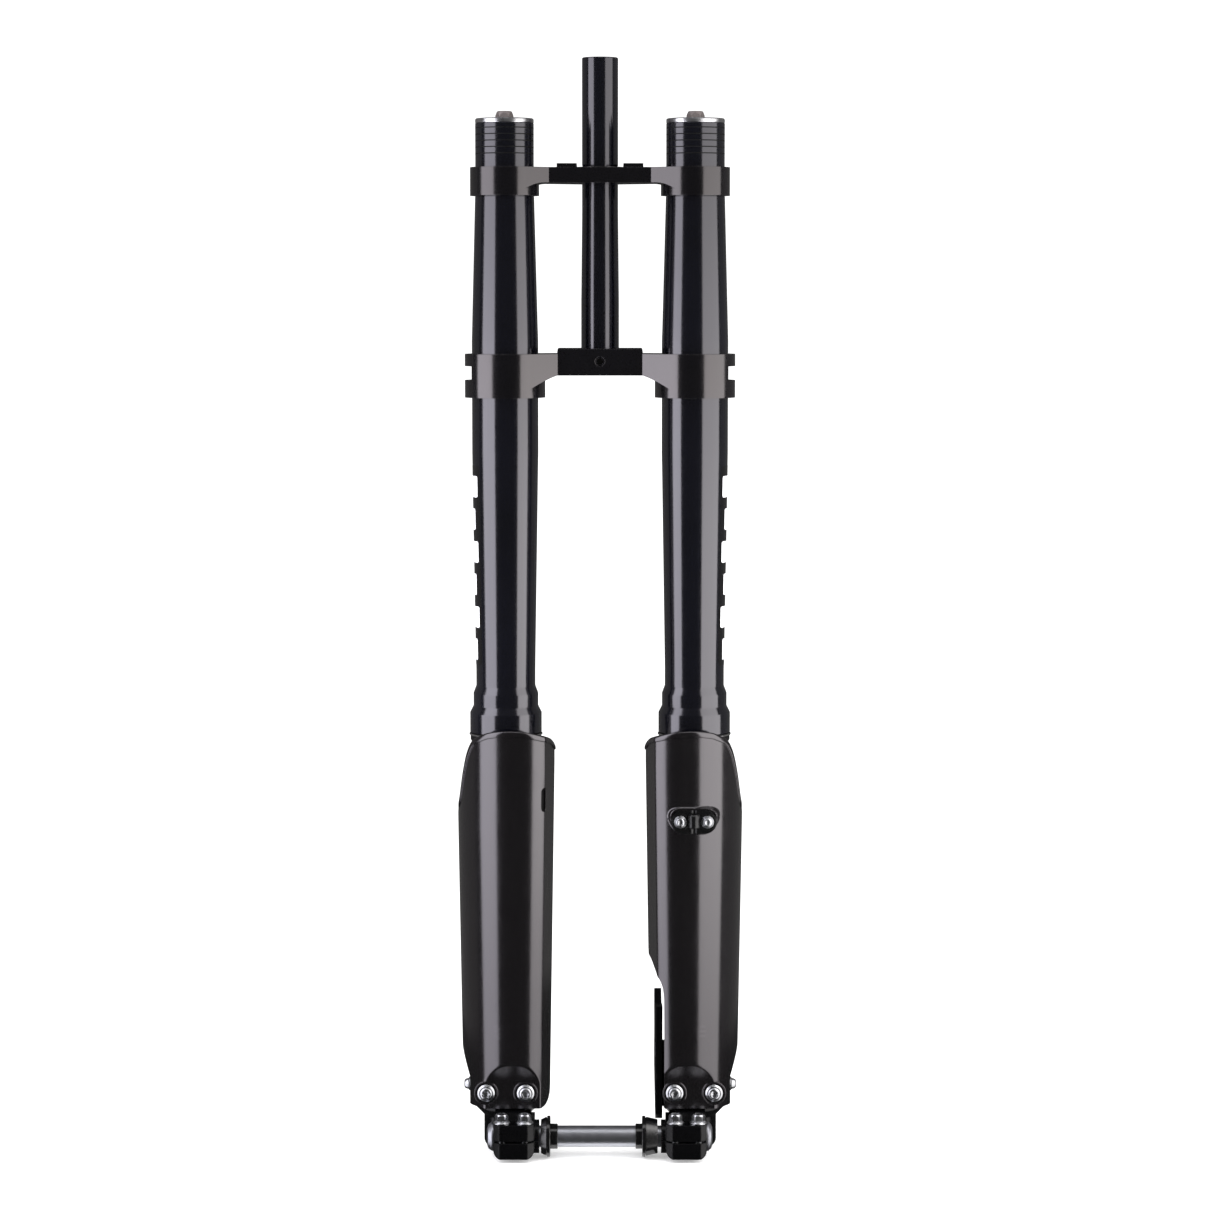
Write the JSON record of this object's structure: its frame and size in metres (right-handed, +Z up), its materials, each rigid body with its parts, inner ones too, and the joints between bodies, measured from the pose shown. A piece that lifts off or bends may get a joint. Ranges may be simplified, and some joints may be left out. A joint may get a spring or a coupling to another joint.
{
  "type": "suspension fork",
  "caption": "Inverted dual-crown suspension fork with a straight steerer, tapered outer tubes, stanchion guards, a clamped through axle and a brake bracket.",
  "frame": {"origin": "crown-race seat: the steerer's axis at the top face of the lower crown", "axes": "+Z up along the steerer, -Y forward, +X to the rider's left, the side with the disc brake"},
  "size_m": [0.2282, 0.121, 0.8702],
  "materials": {
    "black_anodised": "gloss black anodised, polished",
    "crown_black": "satin black anodised, machined",
    "lug_black": "gloss black paint over a forged alloy",
    "cap_silver": "turned and clear anodised",
    "knob_grey": "satin grey",
    "knob_red": "satin red anodised",
    "stanchion_chrome": "hard-chromed alloy, ground",
    "bush_bronze": "plain bearing bronze",
    "seal_rubber": "moulded rubber",
    "bright_steel": "bright zinc plated",
    "spring_steel": "oiled spring steel",
    "ground_steel": "bright steel",
    "axle_steel": "ground and brushed",
    "damper_alloy": "plain turned alloy",
    "spacer_black": "black anodised, turned",
    "guard_plastic": "moulded, semi-gloss",
    "guide_plastic": "moulded, satin",
    "decal_white": "printed film on the outer tubes",
    "decal_black": "clear-coated film under the white bars"
  },
  "bodies": {
    "crowns": {"steerer_tube": "black_anodised", "upper_crown": "crown_black", "lower_crown": "crown_black", "upper_crown_bolts": "bright_steel", "lower_crown_bolts": "bright_steel", "outer_tube_left": "black_anodised", "outer_tube_right": "black_anodised", "top_cap_left": "cap_silver", "top_cap_right": "cap_silver", "top_cap_oring_left": "seal_rubber", "top_cap_oring_right": "seal_rubber", "lower_bush_left": "bush_bronze", "lower_bush_right": "bush_bronze", "seal_washer_left": "ground_steel", "seal_washer_right": "ground_steel", "oil_seal_left": "seal_rubber", "oil_seal_right": "seal_rubber", "snap_ring_left": "ground_steel", "snap_ring_right": "ground_steel", "dust_seal_left": "seal_rubber", "dust_seal_right": "seal_rubber", "garter_spring_left": "ground_steel", "garter_spring_right": "ground_steel", "damper_cartridge": "damper_alloy", "cartridge_gland": "bush_bronze", "preload_tube": "damper_alloy", "coil_spring": "spring_steel"},
    "lower_legs": {"stanchion_left": "stanchion_chrome", "stanchion_right": "stanchion_chrome", "upper_bush_left": "bush_bronze", "upper_bush_right": "bush_bronze", "axle_lug_left": "lug_black", "axle_lug_right": "lug_black", "foot_bolts": "bright_steel", "damper_rod": "damper_alloy", "damper_piston": "damper_alloy", "piston_nut": "ground_steel", "bump_stop": "seal_rubber", "spring_seat": "damper_alloy", "axle_pinch_bolts": "bright_steel", "axle": "axle_steel", "axle_nut": "axle_steel", "caliper_bracket": "lug_black", "caliper_bracket_bolts": "bright_steel", "guard_left": "guard_plastic", "guard_right": "guard_plastic", "guard_front_screws": "bright_steel", "guard_side_screws": "bright_steel", "hose_guide": "guide_plastic", "hose_guide_screws": "bright_steel"},
    "preload_knob": {"preload_knob": "knob_grey"},
    "compression_knob": {"compression_knob": "knob_grey"},
    "rebound_knob": {"rebound_knob": "knob_red"},
    "hub_spacer_left": {"hub_spacer_left": "spacer_black"},
    "hub_spacer_right": {"hub_spacer_right": "spacer_black"}
  },
  "joints": [
    {"name": "fork_travel", "type": "slide", "parent": "crowns", "child": "lower_legs", "axis": [0, 0, 1], "range_m": [0, 0.2], "stiffness_N_per_m": 9000, "springref_m": -0.015, "deforming": ["coil_spring"]},
    {"name": "preload_turn", "type": "hinge", "parent": "crowns", "child": "preload_knob", "pos_m": [0.075, -0.025, 0.18], "axis": [0, 0, 1], "range_deg": [0, 540]},
    {"name": "compression_turn", "type": "hinge", "parent": "crowns", "child": "compression_knob", "pos_m": [-0.075, -0.025, 0.18], "axis": [0, 0, 1], "range_deg": [0, 330]},
    {"name": "rebound_turn", "type": "hinge", "parent": "lower_legs", "child": "rebound_knob", "pos_m": [-0.075, -0.025, -0.636], "axis": [0, 0, 1], "range_deg": [0, 330]},
    {"name": "spacer_slide_left", "type": "slide", "parent": "lower_legs", "child": "hub_spacer_left", "axis": [1, 0, 0], "range_m": [-0.025, 0.0025]},
    {"name": "spacer_slide_right", "type": "slide", "parent": "lower_legs", "child": "hub_spacer_right", "axis": [1, 0, 0], "range_m": [-0.0012, 0.025]}
  ]
}
